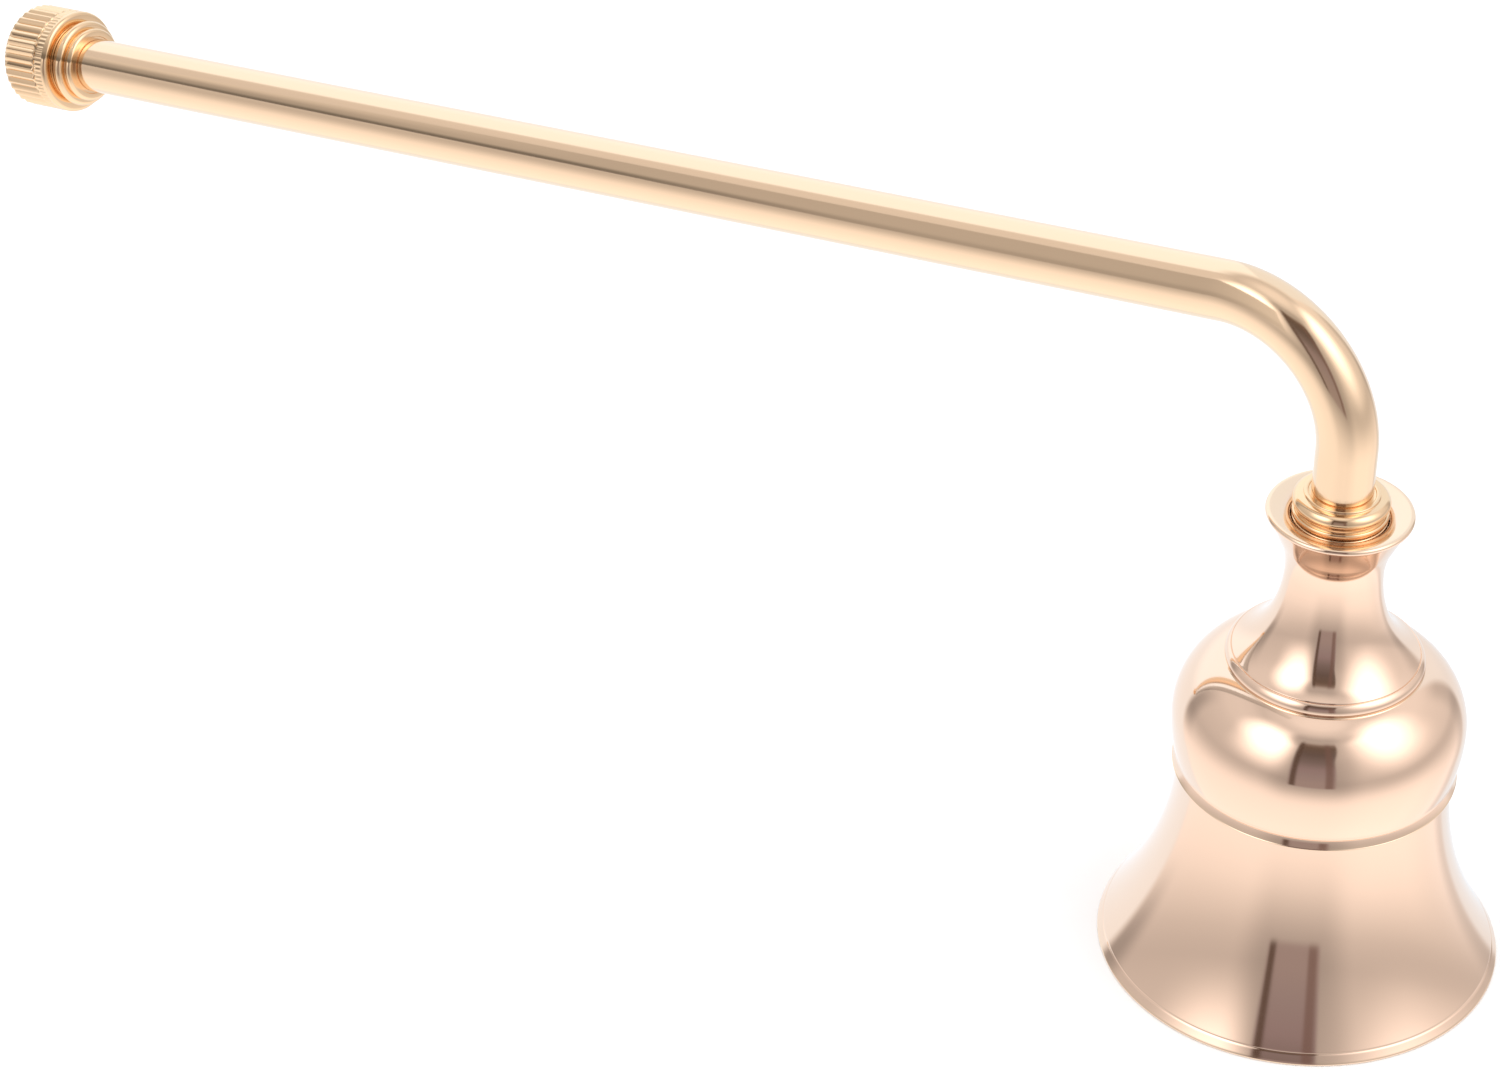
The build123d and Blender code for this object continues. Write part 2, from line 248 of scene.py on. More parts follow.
def finished_mesh(name, vertices, faces, place=None):
    """A closed smooth mesh in metres, with its doubles merged and its faces looking outwards."""
    mesh = bpy.data.meshes.new(name)
    mesh.from_pydata(vertices, [], faces)
    return smoothed(mesh, place)


def smoothed(mesh, place=None):
    """The same mesh, welded, put in its place and shaded smooth but for its sharp corners."""
    form = bmesh.new()
    form.from_mesh(mesh)
    bmesh.ops.remove_doubles(form, verts=form.verts, dist=weld_distance)
    if place is not None:
        bmesh.ops.transform(form, matrix=place, verts=form.verts)
    bmesh.ops.recalc_face_normals(form, faces=form.faces)
    for face in form.faces:
        face.smooth = True
    form.to_mesh(mesh)
    form.free()
    mesh.set_sharp_from_angle(angle=smooth_limit)
    return mesh


def turned(name, section, place=None, sides=spun_sides):
    """The object that a closed section in millimetres makes when it is turned about its axis."""
    vertices, faces = [], []
    for radius, height in section:
        for side in range(sides):
            angle = math.tau * side / sides
            spot = (radius * math.cos(angle), radius * math.sin(angle), height)
            vertices.append([value * mm for value in spot])
    for row in range(len(section)):
        below, above = row * sides, (row + 1) % len(section) * sides
        for side in range(sides):
            after = (side + 1) % sides
            faces.append((below + side, below + after, above + after, above + side))
    mesh = finished_mesh(name, vertices, faces, place)
    piece = bpy.data.objects.new(name, mesh)
    bpy.context.collection.objects.link(piece)
    return piece


def line_inside(piece, lining):
    """Gives the faces of a bell shell that look toward its axis a second finish."""
    piece.data.materials.append(lining)
    for face in piece.data.polygons:
        outward = face.normal.x * face.center.x + face.normal.y * face.center.y
        if outward < 0:
            face.material_index = 1


low_edge = 0.7
high_edge = 0.5


def bell_polish(name, low, high):
    """Mirror polish with faint spun rings, its plating a little thinner along the edges."""
    finish = Finish(name)
    place = finish.object_place()
    rings = finish.lathe_lines(place, 0.22 * mm, 1.6)
    haze = finish.clouds(place, 9 * mm)
    height = finish.add("ShaderNodeSeparateXYZ", None, {0: place}, "Z")
    worn = 1 - finish.rise(height, low * mm, (low + low_edge) * mm)
    worn = worn + finish.rise(height, (high - high_edge) * mm, high * mm)
    thin = worn * (0.35 + 0.5 * haze)
    tone = finish.blend(thin, rose_gold, rose_gold_thin)
    finish.set(Base_Color=finish.blend(haze * 0.12, tone, rose_gold_clouded))
    finish.set(Roughness=0.045 + 0.03 * haze + 0.03 * rings + 0.05 * worn)
    finish.set(Normal=finish.bump(rings, 0.05, 0.004 * mm))
    return finish.material


lining_finish = Finish("bell_lining")
lining_place = lining_finish.object_place()
lining_rings = lining_finish.lathe_lines(lining_place, 0.35 * mm, 2.5)
lining_haze = lining_finish.clouds(lining_place, 6 * mm, 4.0)
lining_tone = lining_finish.blend(lining_haze * 0.7, lining_gold, lining_gold_dull)
lining_finish.set(Base_Color=lining_tone)
lining_finish.set(Roughness=0.24 + 0.12 * lining_rings + 0.1 * lining_haze)
lining_finish.set(Normal=lining_finish.bump(lining_rings, 0.25, 0.01 * mm))

skirt_flare = skirt_mouth_radius - skirt_top_radius
skirt_bow = (skirt_flare**2 + skirt_flare_top**2) / (2 * skirt_flare)
skirt_axis = skirt_top_radius + skirt_bow
skirt_outside = bow(skirt_axis, skirt_flare_top, skirt_bow, 0, skirt_flare_top, -1, 110)
rim_band = [(radius, height) for radius, height in skirt_outside if height < rim_band_top]
above_rim = skirt_outside[len(rim_band):]
rim_band = [
    (radius - rim_line_depth * math.exp(-(((height - rim_line_height) / rim_line_width) ** 2)), height)
    for radius, height in filled_in(rim_band, rim_line_fineness)
]
skirt_inside = bow(skirt_axis, skirt_flare_top, skirt_bow + skirt_sheet, skirt_flare_top, 0, -1, 70)
skirt_inner_top = skirt_top_radius - skirt_sheet
bell_skirt_shell = turned(
    "bell_skirt_shell",
    eased_outline(
        (rim_band + above_rim, 0),
        ([(skirt_top_radius, skirt_flare_top), (skirt_top_radius, skirt_top)], 0.1),
        ([(skirt_top_radius, skirt_top), (skirt_inner_top, skirt_top)], 0.1),
        ([(skirt_inner_top, skirt_top), (skirt_inner_top, skirt_flare_top)], 0),
        (skirt_inside, 0.3),
        ([skirt_inside[-1], (skirt_mouth_radius, 0)], rim_ease),
    ),
)
bell_skirt_shell.data.materials.append(bell_polish("skirt_polish", 0, 30))
line_inside(bell_skirt_shell, lining_finish.material)
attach(bell_skirt_shell, "bell_assembly")
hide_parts("bell_skirt")


# Bell dome
# The round middle shell, spun like the skirt and polished the same way. Its lip laps over the
# skirt's top, where the two are brazed: a small cove that flares to a thin edge under the shell.

dome_lip_radius = 14.93
dome_lip_bottom = 23.5
dome_lip_top = 23.62
cove_top_radius = 14.6
cove_top = 24.55
cove_bow = 7.0
cove_lean = math.radians(13.5)
dome_waist_radius = 14.8
dome_waist = 25.1
dome_edge = dome_waist - 0.33
dome_radius = 15.35
dome_level = 29.6
dome_crown = 8.0
dome_hole = 8.6
dome_sheet = 0.6

dome_swell = dome_radius - dome_waist_radius
dome_rise = dome_level - dome_waist
belly_bow = (dome_swell**2 + dome_rise**2) / (2 * dome_swell)
belly_axis = dome_radius - belly_bow
crown_axis = dome_radius - dome_crown
crown_top = dome_level + math.sqrt(dome_crown**2 - (dome_hole - crown_axis) ** 2)
under_crown = dome_crown - dome_sheet
under_crown_top = dome_level + math.sqrt(under_crown**2 - (dome_hole - crown_axis) ** 2)
cove_level = cove_top + cove_bow * math.sin(cove_lean)
cove_axis = cove_top_radius + cove_bow * math.cos(cove_lean)
lip_cove = bow(cove_axis, cove_level, cove_bow, cove_top, dome_lip_top, -1, 14)
dome_inside = bow(belly_axis, dome_level, belly_bow - dome_sheet, dome_level, skirt_top, 1, 16)
bell_dome_shell = turned(
    "bell_dome_shell",
    eased_outline(
        ([(dome_lip_radius, dome_lip_bottom), (dome_lip_radius, dome_lip_top)], 0.04),
        (lip_cove[::-1], 0.03),
        ([(cove_top_radius, cove_top), (dome_waist_radius, dome_edge)], 0.2),
        ([(dome_waist_radius, dome_edge), (dome_waist_radius, dome_waist)], 0),
        (bow(belly_axis, dome_level, belly_bow, dome_waist, dome_level, 1, 40), 0),
        (bow(crown_axis, dome_level, dome_crown, dome_level, crown_top, 1, 90), 0.15),
        ([(dome_hole, crown_top), (dome_hole, under_crown_top)], 0.1),
        (bow(crown_axis, dome_level, under_crown, under_crown_top, dome_level, 1, 40), 0),
        (dome_inside, 0.03),
        ([dome_inside[-1], (skirt_top_radius, skirt_top)], 0),
        ([(skirt_top_radius, skirt_top), (skirt_top_radius, dome_lip_bottom)], 0.05),
        ([(skirt_top_radius, dome_lip_bottom), (dome_lip_radius, dome_lip_bottom)], 0.06),
    ),
)
bell_dome_shell.data.materials.append(bell_polish("dome_polish", dome_lip_bottom, 44))
line_inside(bell_dome_shell, lining_finish.material)
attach(bell_dome_shell, "bell_assembly")
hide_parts("bell_dome")


# Bell neck
# The trumpet that stands on the dome, with a rolled hem and a crease inside it. Above its waist it
# flares to the thin saucer that the handle's collar turns in. Turned from bar, polished and plated.

neck_waist = 5.08
neck_waist_level = 48.5
neck_bore = 4.35
waist_flare = 16.0
foot_level = 43.3
throat_flare = 9.0
throat_top = 52.3
crease_radius = 9.76
crease_level = 38.36
hem_foot_lift = 0.08
hem_top_lift = 0.06
foot_end_inset = 0.04
foot_end_lift = 0.16
hem_roll = 1.05
hem_axis = 9.325
hem_level = 37.51
bore_top = 47.365
bore_flare = 12.15
bore_foot = 37.24
saucer_seat = 53.965
saucer_seat_radius = 5.04
saucer_throat = 55.0
saucer_top = 55.865
saucer_rim = 7.275
saucer_edge = 0.325
quarter_steps = 24

hem_radius = hem_axis + hem_roll
hem_foot = dome_level + math.sqrt(dome_crown**2 - (hem_radius - crown_axis) ** 2)
hem_line_ends = hem_foot + hem_foot_lift, crease_level + hem_top_lift
hem_line = bow(hem_axis, hem_level, hem_roll, *hem_line_ends, 1, 24)
foot_lean = math.asin((neck_waist_level - foot_level) / waist_flare)
foot_top_radius = neck_waist + waist_flare * (1 - math.cos(foot_lean))
foot_end = (crease_radius - foot_end_inset, crease_level + foot_end_lift)
foot_run = foot_end[0] - foot_top_radius
foot_drop = foot_level - foot_end[1]
foot_share = foot_run * math.cos(foot_lean) - foot_drop * math.sin(foot_lean)
foot_flare = (foot_run**2 + foot_drop**2) / (2 * foot_share)
foot_axis = foot_top_radius + foot_flare * math.cos(foot_lean)
foot_centre = foot_level + foot_flare * math.sin(foot_lean)
foot_line = bow(foot_axis, foot_centre, foot_flare, foot_end[1], foot_level, -1, 40)
waist_axis = neck_waist + waist_flare
waist_line = bow(waist_axis, neck_waist_level, waist_flare, foot_level, neck_waist_level, -1, 40)
throat_axis = neck_waist + throat_flare
throat_line = bow(throat_axis, neck_waist_level, throat_flare, neck_waist_level, throat_top, -1)
under_flare = bow(neck_bore + bore_flare, bore_top, bore_flare, bore_top, bore_foot, -1, 40)
quarter = [math.pi / 2 * step / quarter_steps for step in range(quarter_steps + 1)]
saucer_bowl = [
    (saucer_rim - (saucer_rim - saucer_seat_radius) * math.sin(turn),
     saucer_throat + (saucer_top - saucer_throat) * math.cos(turn))
    for turn in quarter
]
saucer_bead = [
    (saucer_rim + saucer_edge * math.sin(2 * turn),
     saucer_top - saucer_edge - saucer_edge * math.cos(2 * turn))
    for turn in quarter
]
bell_neck_shell = turned(
    "bell_neck_shell",
    eased_outline(
        ([(hem_radius, hem_foot), hem_line[0]], 0),
        (hem_line, 0.03),
        ([hem_line[-1], (crease_radius, crease_level)], 0.02),
        ([(crease_radius, crease_level), foot_line[0]], 0.03),
        (foot_line, 0),
        (waist_line, 0),
        (throat_line, 0.3),
        ([throat_line[-1], saucer_bead[0]], 0.1),
        (saucer_bead, 0),
        (saucer_bowl, 0),
        ([saucer_bowl[-1], (saucer_seat_radius, saucer_seat)], 0.1),
        ([(saucer_seat_radius, saucer_seat), (neck_bore, saucer_seat)], 0.05),
        ([(neck_bore, saucer_seat), (neck_bore, bore_top)], 0),
        (under_flare, 0),
        ([under_flare[-1], (hem_radius, hem_foot)], 0.02),
    ),
)
bell_neck_shell.data.materials.append(bell_polish("neck_polish", hem_foot, saucer_top))
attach(bell_neck_shell, "bell_assembly")
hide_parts("bell_neck")


# Swivel parts inside the neck
# A bare brass bush pressed into the neck turns on a shoulder screw, with a flat washer and a
# spring washer above the screw's slotted head. They show from below, through the bell's mouth.

bare_brass = (0.74, 0.58, 0.34)
bare_brass_dull = (0.60, 0.44, 0.24)
zinc_plate = (0.62, 0.61, 0.60)
zinc_plate_dull = (0.50, 0.51, 0.53)


def turned_brass(name):
    """Bare brass as it comes off the lathe, a little dull in places."""
    finish = Finish(name)
    place = finish.object_place()
    rings = finish.lathe_lines(place, 0.12 * mm, 1.2)
    haze = finish.clouds(place, 1.5 * mm, 4.0)
    finish.set(Base_Color=finish.blend(haze, bare_brass, bare_brass_dull))
    finish.set(Roughness=0.2 + 0.15 * rings + 0.12 * haze)
    finish.set(Normal=finish.bump(rings, 0.3, 0.01 * mm))
    return finish.material


def zinc_steel(name):
    """Zinc plated steel with a cool, slightly mottled shine."""
    finish = Finish(name)
    place = finish.object_place()
    rings = finish.lathe_lines(place, 0.1 * mm, 1.0)
    mottle = finish.clouds(place, 0.6 * mm, 5.0)
    finish.set(Base_Color=finish.blend(mottle, zinc_plate, zinc_plate_dull))
    finish.set(Roughness=0.22 + 0.1 * rings + 0.14 * mottle)
    finish.set(Normal=finish.bump(rings + mottle, 0.2, 0.008 * mm))
    return finish.material


brass_finish = turned_brass("turned_brass")
steel_finish = zinc_steel("zinc_steel")
for finish, names in (
    (brass_finish, ("neck_bush", "bell_end_plug", "knob_end_plug")),
    (steel_finish, ("flat_washer", "spring_washer", "bell_screw", "knob_stud")),
):
    for node in names:
        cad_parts[node].data.materials.clear()
        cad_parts[node].data.materials.append(finish)


# Thrust washer
# The thin bright ring between the saucer's seat and the collar, which the bell turns against.
# Turned and plated in yellow gold like the collars.

trim_gold = (0.90, 0.655, 0.42)
trim_gold_deep = (0.84, 0.58, 0.36)
thrust_bore = 2.05
thrust_radius = 4.9
thrust_bottom = 54.015
thrust_top = 54.515


def trim_shine(name, turn=None, centre=None):
    """Bright turned trim in yellow gold, with the fine rings of the tool."""
    finish = Finish(name)
    place = finish.object_place(turn, centre)
    rings = finish.lathe_lines(place, 0.1 * mm, 1.1)
    haze = finish.clouds(place, 2.5 * mm, 3.0)
    finish.set(Base_Color=finish.blend(haze * 0.35, trim_gold, trim_gold_deep))
    finish.set(Roughness=0.06 + 0.05 * rings + 0.05 * haze)
    finish.set(Normal=finish.bump(rings, 0.08, 0.006 * mm))
    return finish.material


collar_shine = trim_shine("collar_shine")
thrust_ring = turned(
    "thrust_ring",
    eased_outline(
        ([(thrust_bore, thrust_bottom), (thrust_radius, thrust_bottom)], 0.12),
        ([(thrust_radius, thrust_bottom), (thrust_radius, thrust_top)], 0.12),
        ([(thrust_radius, thrust_top), (thrust_bore, thrust_top)], 0.06),
        ([(thrust_bore, thrust_top), (thrust_bore, thrust_bottom)], 0.06),
    ),
)
thrust_ring.data.materials.append(collar_shine)
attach(thrust_ring, "handle_assembly")
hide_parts("thrust_washer")


# Handle collar
# The beaded ferrule that the tube is soldered into above the saucer: two rings, a groove, a full
# bead and a small lip round a recess for the solder. Turned brass, gold plated.

collar_bottom = thrust_top
collar_ring = 4.94
collar_ring_height = 0.75
collar_valley = 4.56
valley_half_width = 0.04
collar_groove_top = 56.215
collar_bead_axis = 4.17
collar_bead_roll = 0.83
collar_bead_start = -58
collar_lip = 3.9
collar_top = 58.115
recess_radius = 3.445
recess_floor = 57.96
tube_radius = 3.175
tube_bore = 2.375


def bead(axis, level, roll, low=-90, high=90, steps=24):
    """Points round the outside of a bead, from an angle below its middle to one above it."""
    turns = [math.radians(low + (high - low) * step / steps) for step in range(steps + 1)]
    return [(axis + roll * math.cos(turn), level + roll * math.sin(turn)) for turn in turns]


ring_one_top = collar_bottom + collar_ring_height
ring_two_top = ring_one_top + collar_ring_height
valley_bottom = ring_one_top - valley_half_width
valley_top = ring_one_top + valley_half_width
collar_bead_level = collar_groove_top + collar_bead_roll
collar_bead = bead(collar_bead_axis, collar_bead_level, collar_bead_roll, collar_bead_start)
bead_top = collar_bead[-1][1]
collar_groove = collar_bead[0][0]
handle_collar_ring = turned(
    "handle_collar_ring",
    eased_outline(
        ([(tube_radius, collar_bottom), (collar_ring, collar_bottom)], 0.26),
        ([(collar_ring, collar_bottom), (collar_ring, valley_bottom)], 0.26),
        ([(collar_ring, valley_bottom), (collar_valley, valley_bottom)], 0.03),
        ([(collar_valley, valley_bottom), (collar_valley, valley_top)], 0.03),
        ([(collar_valley, valley_top), (collar_ring, valley_top)], 0.24),
        ([(collar_ring, valley_top), (collar_ring, ring_two_top)], 0.24),
        ([(collar_ring, ring_two_top), (collar_groove, ring_two_top)], 0.04),
        ([(collar_groove, ring_two_top), collar_bead[0]], 0.04),
        (collar_bead, 0),
        ([collar_bead[-1], (collar_lip, bead_top)], 0.08),
        ([(collar_lip, bead_top), (collar_lip, collar_top)], 0.14),
        ([(collar_lip, collar_top), (recess_radius, collar_top)], 0.07),
        ([(recess_radius, collar_top), (recess_radius, recess_floor)], 0.06),
        ([(recess_radius, recess_floor), (tube_radius, recess_floor)], 0),
        ([(tube_radius, recess_floor), (tube_radius, collar_bottom)], 0),
    ),
)
handle_collar_ring.data.materials.append(collar_shine)
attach(handle_collar_ring, "handle_assembly")
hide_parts("handle_collar")


# Handle tube
# One drawn brass tube with a single bend over the bell, gold plated and left satin, so that fine
# lines run along it and follow it round the bend. Its ends go into the two collars.

droop = math.radians(10.0)
bend_radius = 13.2
bend_turn = math.radians(100.0)
bend_start = 63.0653
tube_end = 176.4
tube_gold = (0.905, 0.68, 0.475)
tube_gold_broad = (0.87, 0.645, 0.44)
tube_gold_fine = (0.83, 0.60, 0.40)
tube_sides = 128
drop_steps = 8
bend_steps = 96
run_steps = 64

bend_tangent = bend_radius * math.tan(bend_turn / 2)
corner_height = bend_start + bend_tangent
outward = Vector((-math.cos(droop), 0, -math.sin(droop)))
corner = Vector((0, 0, corner_height))


def handle_line():
    """The tube's middle line, from the collar's lower face to the back of the knob."""
    drop = bend_start - collar_bottom
    spots = [Vector((0, 0, collar_bottom + drop * step / drop_steps)) for step in range(drop_steps)]
    for step in range(bend_steps + 1):
        turn = bend_turn * step / bend_steps
        run = bend_radius * (1 - math.cos(turn))
        spots.append(Vector((-run, 0, bend_start + bend_radius * math.sin(turn))))
    for step in range(1, run_steps + 1):
        distance = bend_tangent + (tube_end - bend_tangent) * step / run_steps
        spots.append(corner + outward * distance)
    return spots


def geometry_board(name, sockets):
    """An empty geometry tree with the named inputs that it is given."""
    tree = bpy.data.node_groups.new(name, "GeometryNodeTree")
    tree.interface.new_socket("Geometry", in_out="OUTPUT", socket_type="NodeSocketGeometry")
    tree.interface.new_socket("Geometry", in_out="INPUT", socket_type="NodeSocketGeometry")
    for label, kind in sockets:
        tree.interface.new_socket(label, in_out="INPUT", socket_type=kind)
    board = Board(tree)
    start = tree.nodes.new("NodeGroupInput")
    given = {socket.name: Reading(board, socket) for socket in start.outputs if socket.name}
    return board, given


def made_by(board, source, values):
    """The plain mesh that a geometry tree makes from an object, whose modifier then goes."""
    modifier = source.modifiers.new(board.tree.name, "NODES")
    modifier.node_group = board.tree
    for item in board.tree.interface.items_tree:
        if item.in_out == "INPUT" and item.name in values:
            modifier[item.identifier] = values[item.name]
    seen = source.evaluated_get(bpy.context.evaluated_depsgraph_get())
    mesh = bpy.data.meshes.new_from_object(seen)
    source.modifiers.remove(modifier)
    bpy.data.objects.remove(source)
    return mesh


tube_tree, tube_given = geometry_board(
    "tube_along_line",
    [
        ("Tube Radius", "NodeSocketFloat"),
        ("Bore Radius", "NodeSocketFloat"),
        ("Sides", "NodeSocketInt"),
        ("Metal", "NodeSocketMaterial"),
    ],
)


def tube_skin(radius):
    """One skin of the tube, which remembers where along and around it each point is."""
    add = tube_tree.add
    length = add("GeometryNodeSplineParameter", output="Length")
    line = add(
        "GeometryNodeStoreNamedAttribute",
        {"data_type": "FLOAT", "domain": "POINT"},
        {"Geometry": tube_given["Geometry"], "Name": "along", "Value": length},
    )
    circle = add(
        "GeometryNodeCurvePrimitiveCircle", None, {"Resolution": tube_given["Sides"], "Radius": radius}
    )
    spot = add("GeometryNodeInputPosition")
    round_spot = add("ShaderNodeVectorMath", {"operation": "NORMALIZE"}, {0: spot})
    circle = add(
        "GeometryNodeStoreNamedAttribute",
        {"data_type": "FLOAT_VECTOR", "domain": "POINT"},
        {"Geometry": circle, "Name": "around", "Value": round_spot},
    )
    return add("GeometryNodeCurveToMesh", None, {"Curve": line, "Profile Curve": circle})


outer_skin = tube_skin(tube_given["Tube Radius"])
bore_skin = tube_tree.add("GeometryNodeFlipFaces", None, {"Mesh": tube_skin(tube_given["Bore Radius"])})
both_skins = tube_tree.tree.nodes.new("GeometryNodeJoinGeometry")
tube_tree.feed(both_skins.inputs[0], outer_skin)
tube_tree.feed(both_skins.inputs[0], bore_skin)
whole_tube = Reading(tube_tree, both_skins.outputs[0])
whole_tube = tube_tree.add("GeometryNodeRealizeInstances", None, {0: whole_tube})
whole_tube = tube_tree.add(
    "GeometryNodeSetMaterial", None, {"Geometry": whole_tube, "Material": tube_given["Metal"]}
)
tube_out = tube_tree.tree.nodes.new("NodeGroupOutput")
tube_tree.feed(tube_out.inputs[0], whole_tube)

tube_finish = Finish("tube_satin")
tube_round = tube_finish.add("ShaderNodeAttribute", {"attribute_name": "around"}, None, "Vector")
tube_along = tube_finish.add("ShaderNodeAttribute", {"attribute_name": "along"}, None, "Fac")
round_axes = tube_finish.add("ShaderNodeSeparateXYZ", None, {0: tube_round}).socket.node.outputs
round_x = Reading(tube_finish, round_axes["X"])
round_y = Reading(tube_finish, round_axes["Y"])


def drawn_lines(count, stretch, detail):
    """Lines left by the drawing die, long along the tube and narrow around it."""
    spread = {"X": round_x * count, "Y": round_y * count, "Z": tube_along / stretch}
    vector = tube_finish.add("ShaderNodeCombineXYZ", None, spread)
    return tube_finish.add("ShaderNodeTexNoise", None, {"Vector": vector, "Scale": 1.0, "Detail": detail})


fine_lines = drawn_lines(38.0, 9 * mm, 3.0)
broad_lines = drawn_lines(9.0, 30 * mm, 2.0)
tube_haze = tube_finish.clouds(tube_finish.object_place(), 7 * mm, 3.0)
tube_tone = tube_finish.blend(broad_lines * 0.4, tube_gold, tube_gold_broad)
tube_finish.set(Base_Color=tube_finish.blend(fine_lines * 0.2, tube_tone, tube_gold_fine))
tube_finish.set(Roughness=0.06 + 0.07 * fine_lines + 0.04 * tube_haze)
tube_finish.set(Normal=tube_finish.bump(fine_lines, 0.1, 0.008 * mm))

line_data = bpy.data.curves.new("handle_line", "CURVE")
line_data.dimensions = "3D"
tube_spots = handle_line()
tube_spline = line_data.splines.new("POLY")
tube_spline.points.add(len(tube_spots) - 1)
for point, spot in zip(tube_spline.points, tube_spots):
    point.co = (*(spot * mm), 1.0)
line_object = bpy.data.objects.new("handle_line", line_data)
bpy.context.collection.objects.link(line_object)
tube_values = {
    "Tube Radius": tube_radius * mm,
    "Bore Radius": tube_bore * mm,
    "Sides": tube_sides,
    "Metal": tube_finish.material,
}
tube_mesh = made_by(tube_tree, line_object, tube_values)
tube_form = bmesh.new()
tube_form.from_mesh(tube_mesh)
between_ends = -10 * mm
for bell_end in (True, False):
    open_edges = [
        edge
        for edge in tube_form.edges
        if edge.is_boundary and (edge.verts[0].co.x > between_ends) == bell_end
    ]
    bmesh.ops.bridge_loops(tube_form, edges=open_edges)
tube_form.to_mesh(tube_mesh)
tube_form.free()
handle_pipe = bpy.data.objects.new("handle_pipe", smoothed(tube_mesh))
bpy.context.collection.objects.link(handle_pipe)
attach(handle_pipe, "handle_assembly")
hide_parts("handle_tube")


# Knob collar
# The ferrule behind the knob: a small bead round a recess, a cove and a larger bead. Turned brass
# in the same bright gold, soldered to the tube's end.

knob_collar_start = 174.26
inner_bead_axis = 3.93
inner_bead_roll = 0.42
inner_bead_end = 66
cove_radius = 4.1
big_bead_axis = 4.6
big_bead_level = 1.49
big_bead_roll = 0.5
collar_back = 2.14
collar_mouth_depth = 0.16


def handle_place(distance):
    """Turns a piece made about +Z so that it lies along the handle, this far from the bend's corner."""
    turn = outward.to_track_quat("Z", "Y").to_matrix().to_4x4()
    return Matrix.Translation((corner + outward * distance) * mm) @ turn


inner_bead = bead(inner_bead_axis, inner_bead_roll, inner_bead_roll, -90, inner_bead_end)
cove_end = big_bead_level - big_bead_roll
big_bead = bead(big_bead_axis, big_bead_level, big_bead_roll)
knob_collar_ring = turned(
    "knob_collar_ring",
    eased_outline(
        (inner_bead, 0),
        ([inner_bead[-1], (cove_radius, cove_end)], 0.05),
        ([(cove_radius, cove_end), big_bead[0]], 0.05),
        (big_bead, 0),
        ([big_bead[-1], (big_bead_axis, collar_back)], 0.03),
        ([(big_bead_axis, collar_back), (tube_radius, collar_back)], 0),
        ([(tube_radius, collar_back), (tube_radius, collar_mouth_depth)], 0),
        ([(tube_radius, collar_mouth_depth), (recess_radius, collar_mouth_depth)], 0.06),
        ([(recess_radius, collar_mouth_depth), (recess_radius, 0)], 0.06),
        ([(recess_radius, 0), (inner_bead_axis, 0)], 0),
    ),
    handle_place(knob_collar_start),
)
knob_middle = 180.0
knob_shine = trim_shine("knob_shine", (0, bend_turn, 0), handle_place(knob_middle).translation)
knob_collar_ring.data.materials.append(knob_shine)
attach(knob_collar_ring, "handle_assembly")
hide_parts("knob_collar")


# Knob washer
# The thin washer pinched between collar and knob, at the bottom of the deep groove that looks
# orange because the gold around it is mirrored in it over and over. It moves out with the knob.

washer_start = 176.45
washer_radius = 4.6
washer_bore = 1.55
washer_height = 0.3
washer_sides = 128

knob_washer_ring = turned(
    "knob_washer_ring",
    eased_outline(
        ([(washer_bore, 0), (washer_radius, 0)], 0.08),
        ([(washer_radius, 0), (washer_radius, washer_height)], 0.08),
        ([(washer_radius, washer_height), (washer_bore, washer_height)], 0.05),
        ([(washer_bore, washer_height), (washer_bore, 0)], 0.05),
    ),
    handle_place(washer_start),
    washer_sides,
)
knob_washer_ring.data.materials.append(knob_shine)
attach(knob_washer_ring, "washer_carrier")
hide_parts("knob_washer")


# Knob
# The solid end knob, turned from brass bar and straight knurled so that fingers can turn it: a
# smooth shoulder, a band of fine ribs, a turned line and a band of coarse ribs. A stud screws it on.

knob_start = 176.8
knob_radius = 6.05
knob_length = 7.0
knob_hole = 1.5
knob_hole_depth = 4.0
knob_hole_mouth = 1.6
knob_front = 5.6
knob_shoulder = 0.45
knob_end_flat = 5.55
rib_count = 36
rib_depth = 0.28
rib_sharpness = 1.3
fine_rib_depth = 0.12
fine_rib_start = 0.7
fine_rib_length = 0.85
coarse_rib_start = 2.22
coarse_rib_length = 4.3
rib_weld = 2e-6
sector_steps = 12
knob_line_depth = 0.28


